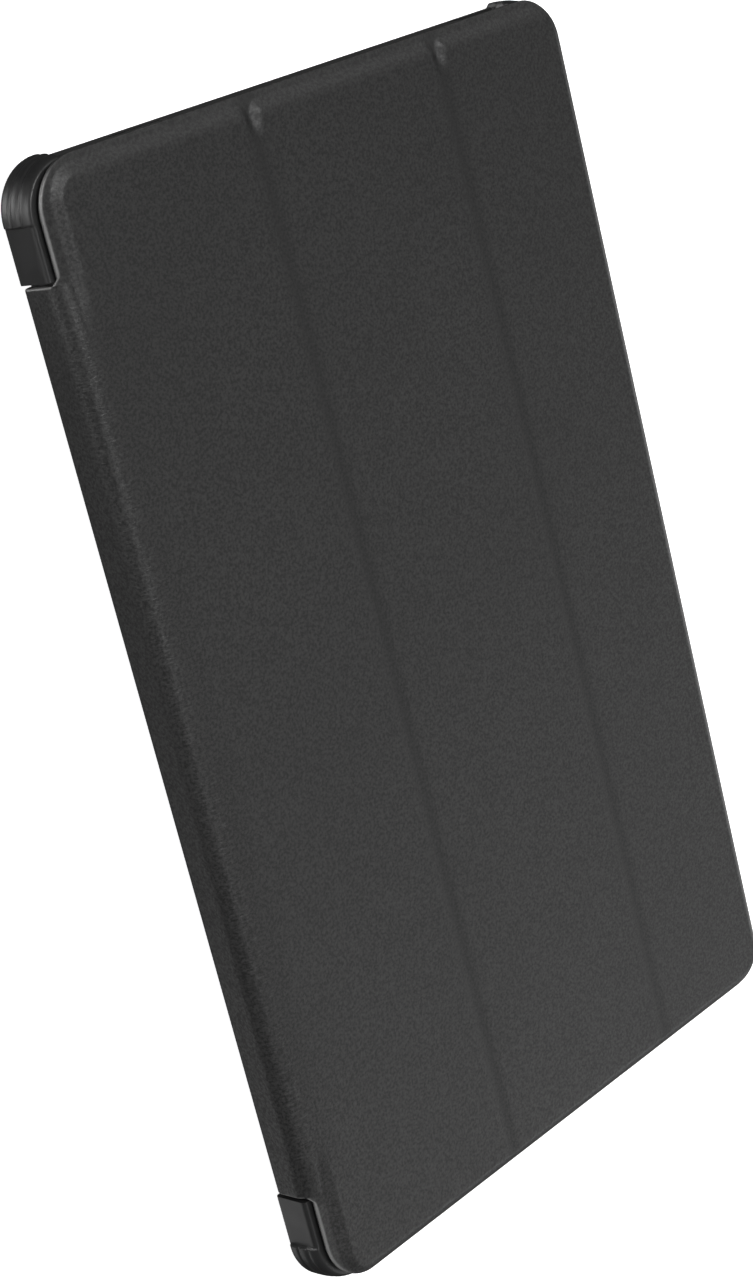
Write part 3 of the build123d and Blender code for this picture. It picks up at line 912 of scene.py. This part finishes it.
# piece, nodes it stands for, the two bodies that it joins, and the span of its bend
LEATHER_PIECES = (
    (back, ("back_flap_skin", "back_hinge_skin"), "shell", "spine", back_span),
    (front_bend, ("spine_skin", "front_hinge_skin"), "spine", "front_web", front_span),
    (first, ("inner_panel_skin",), "front_web", "inner_panel", stand_span),
    (second, ("inner_fold_skin", "middle_panel_skin"), "inner_panel", "middle_panel", first_fold),
    (third, ("outer_fold_skin", "outer_panel_skin"), "middle_panel", "outer_panel", second_fold),
)
LINING_PIECES = (
    (lining_bend, ("spine_lining", "front_hinge_lining"), "spine", "front_web", lining_span),
    (lining_first, ("inner_panel_lining",), "front_web", "inner_panel", stand_span),
    (lining_second, ("inner_fold_lining", "middle_panel_lining"), "inner_panel", "middle_panel", first_fold),
    (lining_third, ("outer_fold_lining", "outer_panel_lining"), "middle_panel", "outer_panel", second_fold),
)
for pieces, material, slot in (
    (LEATHER_PIECES, leather, "cover_leather"),
    (LINING_PIECES, microfibre, "microfibre_lining"),
):
    for piece, nodes, first_body, second_body, span in pieces:
        wear(piece, material)
        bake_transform(piece)
        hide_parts(*nodes)

tray = link(tray_mesh())
cut(tray, tray_cutters())
wear(tray, moulded)
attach(tray, "shell")
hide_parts("back_shell")

board, film, nickel = make_board(), make_film(), make_magnet()
for name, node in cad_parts.items():
    if name.endswith("_board"):
        wear(node, board)
    elif name.endswith("_magnets"):
        wear(node, nickel)
    elif name == "back_adhesive_film":
        wear(node, film)

# ---------------------------------------------------------------- floor, light and camera


FLOOR_HALF, FLOOR_Z = 12.0, -0.0001


def stage_floor():
    """A white floor that glows a little, and is hidden from reflections and shadows."""
    mesh = bpy.data.meshes.new("floor")
    signs = ((-1, -1), (1, -1), (1, 1), (-1, 1))
    mesh.from_pydata([(a * FLOOR_HALF, b * FLOOR_HALF, FLOOR_Z) for a, b in signs], [], [(0, 1, 2, 3)])
    floor = link(mesh)
    material, _, shader = new_material("floor_white")
    shader.inputs["Base Color"].default_value = (0.92, 0.92, 0.92, 1)
    shader.inputs["Roughness"].default_value = 1.0
    shader.inputs["Specular IOR Level"].default_value = 0.0
    shader.inputs["Emission Color"].default_value = (1, 1, 1, 1)
    shader.inputs["Emission Strength"].default_value = 0.9
    wear(floor, material)
    floor.visible_diffuse = False
    floor.visible_glossy = False
    floor.visible_shadow = False


stage_floor()


def area_light(name, place, target, size, power):
    light = bpy.data.lights.new(name, "AREA")
    light.shape = "RECTANGLE"
    light.size, light.size_y = size
    light.energy = power
    lamp = bpy.data.objects.new(name, light)
    bpy.context.scene.collection.objects.link(lamp)
    lamp.location = place
    lamp.rotation_euler = (Vector(target) - Vector(place)).to_track_quat("-Z", "Y").to_euler()


area_light("softbox_top", (-0.08, 0.6, 1.35), (0, 0, 0), (0.6, 0.5), 12)
area_light("softbox_front", (-0.45, -0.45, 1.4), (0, 0, 0), (0.5, 0.5), 3)
area_light("softbox_right", (1.5, -0.9, 1.4), (0, 0, 0), (1.1, 0.9), 3.5)
area_light("softbox_low", (1.2, -1.6, 0.9), (0, 0, 0), (1.0, 0.7), 6.5)
area_light("softbox_back", (1.3, 1.3, 1.1), (0, 0, 0), (1.0, 0.6), 3)
area_light("softbox_left", (-1.3, 0.5, 0.05), (0, 0, 0), (0.6, 0.6), 8)
area_light("softbox_edge", (1.6, -0.45, 0.0), (0, 0, 0), (0.8, 0.8), 3)
area_light("bounce_back", (-0.72, 0.5, -0.72), (-0.05, 0.1, 0), (0.45, 0.4), 4)
area_light("bounce_front", (-0.6, -0.6, -0.75), (-0.05, -0.1, 0), (0.6, 0.5), 0.9)


def studio_world(above, below):
    """An even sky over a darker ground, with a soft horizon."""
    world = bpy.data.worlds.new("studio")
    bpy.context.scene.world = world
    world.use_nodes = True
    graph = Graph(world.node_tree)
    background = graph.nodes["Background"]
    background.inputs["Color"].default_value = (1, 1, 1, 1)
    direction = graph.node("ShaderNodeTexCoord", {}).outputs["Generated"]
    height = graph.node("ShaderNodeSeparateXYZ", {"Vector": direction}).outputs["Z"]
    graph.connect(background, {"Strength": graph.remap(height, below, above, -0.3, 0.1)})


studio_world(0.27, 0.06)

scene = bpy.context.scene
scene.view_settings.view_transform = "Standard"
scene.view_settings.look = "None"
scene.view_settings.exposure = 0.0
scene.view_settings.gamma = 1.0

CAMERA_PLACE = Vector((-0.4011, 0.1704, 0.4240))
CAMERA_RIGHT = Vector((0.6666, -0.2349, 0.7074)).normalized()
CAMERA_UP = Vector((0.3660, 0.9299, -0.0360))

camera_data = bpy.data.cameras.new("camera")
camera_data.sensor_width = 36
camera_data.lens = 75.89
camera_data.clip_start = 0.01
camera = bpy.data.objects.new("camera", camera_data)
scene.collection.objects.link(camera)
camera_back = CAMERA_RIGHT.cross(CAMERA_UP).normalized()
facing = Matrix((CAMERA_RIGHT, camera_back.cross(CAMERA_RIGHT).normalized(), camera_back)).transposed()
camera.matrix_world = Matrix.Translation(CAMERA_PLACE) @ facing.to_4x4()
bpy.context.scene.camera = camera

bpy.context.view_layer.update()
